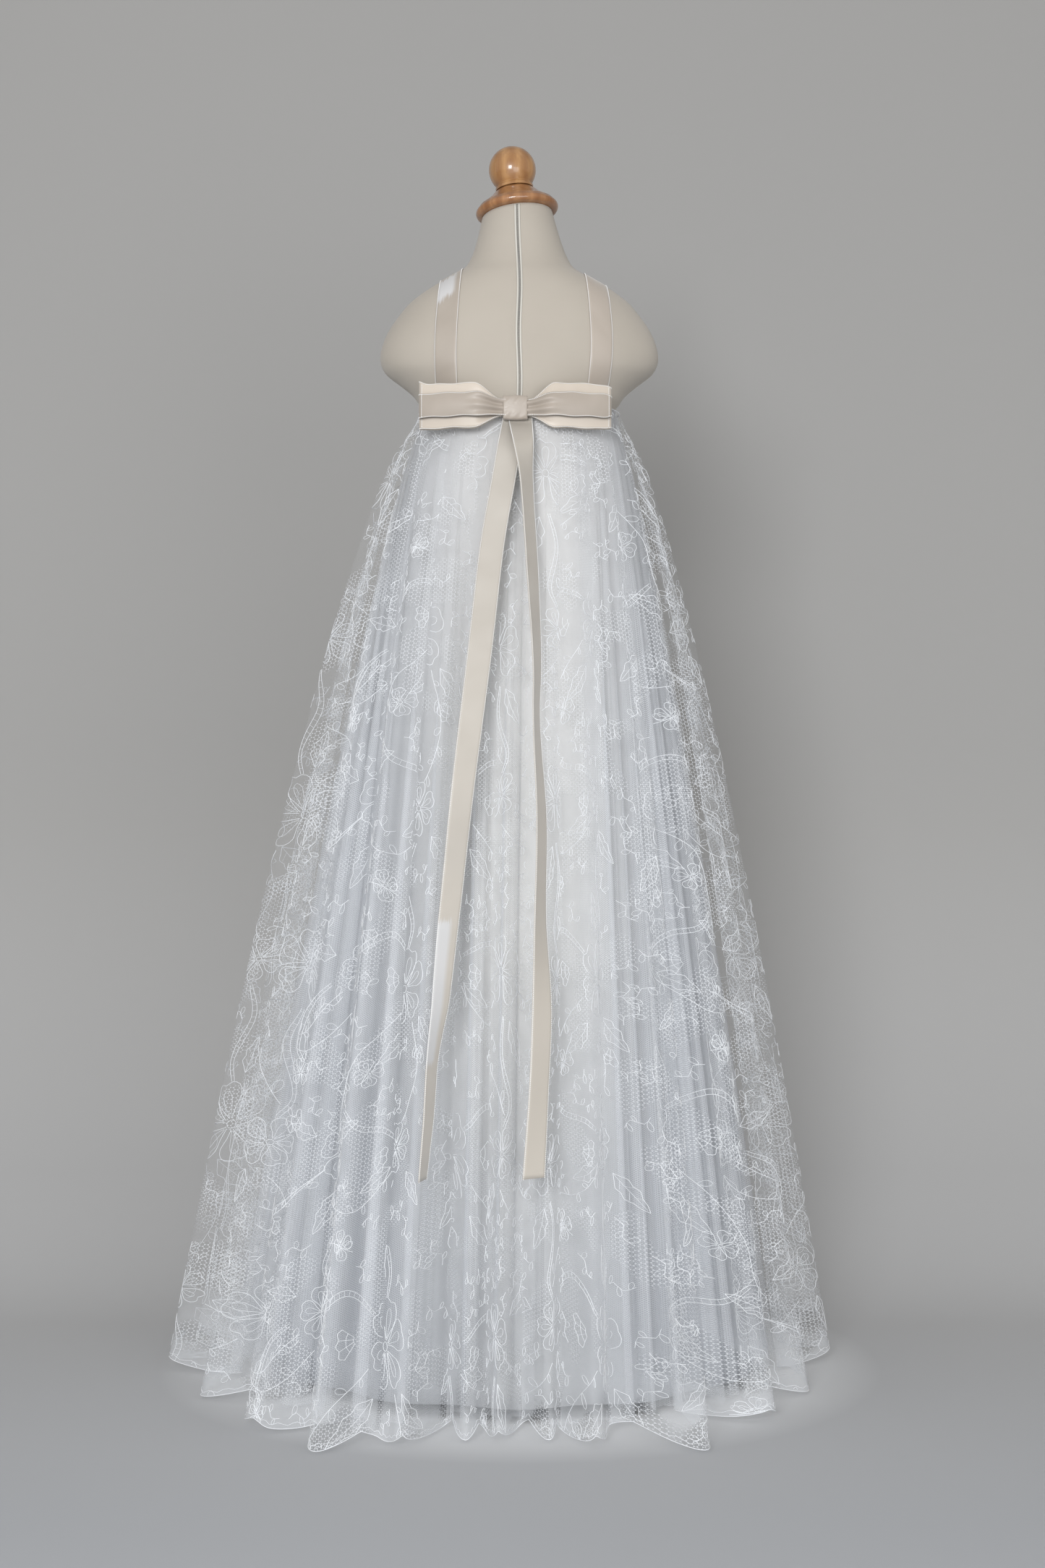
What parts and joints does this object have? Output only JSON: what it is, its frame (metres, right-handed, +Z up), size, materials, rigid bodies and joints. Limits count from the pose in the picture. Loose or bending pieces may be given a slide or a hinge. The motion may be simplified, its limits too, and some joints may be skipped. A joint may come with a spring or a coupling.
{
  "type": "flower girl dress on a dress form",
  "caption": "Child's floor-length flower girl dress with ribbon straps, back bow and gathered lace skirt, on a limbless dress form with a round foot.",
  "frame": {"origin": "on the floor, the middle of the underside of the dress form's round foot", "axes": "+Z up; the back of the dress, with the bow, faces -Y and its front faces +Y"},
  "size_m": [0.6333, 0.625, 1.1548],
  "materials": {
    "cream_linen": "matt cream cover cloth",
    "honey_wood": "clear gloss varnish",
    "stand_steel": "satin",
    "ivory_satin": "soft satin sheen",
    "white_lace": "sheer corded lace",
    "white_net": "soft sheer net",
    "ivory_lining": "matt"
  },
  "bodies": {
    "root": {"form_torso": "cream_linen", "form_cap": "honey_wood", "form_finial": "honey_wood", "form_base": "honey_wood", "form_pole": "stand_steel", "bodice_front": "ivory_satin", "strap_left": "ivory_satin", "strap_right": "ivory_satin", "bow_back_left": "ivory_satin", "bow_back_right": "ivory_satin", "bow_front_left": "ivory_satin", "bow_front_right": "ivory_satin", "bow_knot": "ivory_satin", "tail_left": "ivory_satin", "tail_right": "ivory_satin", "skirt_lace_back": "white_lace", "skirt_lace_front": "white_lace", "skirt_net_back": "white_net", "skirt_net_front": "white_net", "skirt_lining_back": "ivory_lining", "skirt_lining_front": "ivory_lining"}
  },
  "joints": []
}
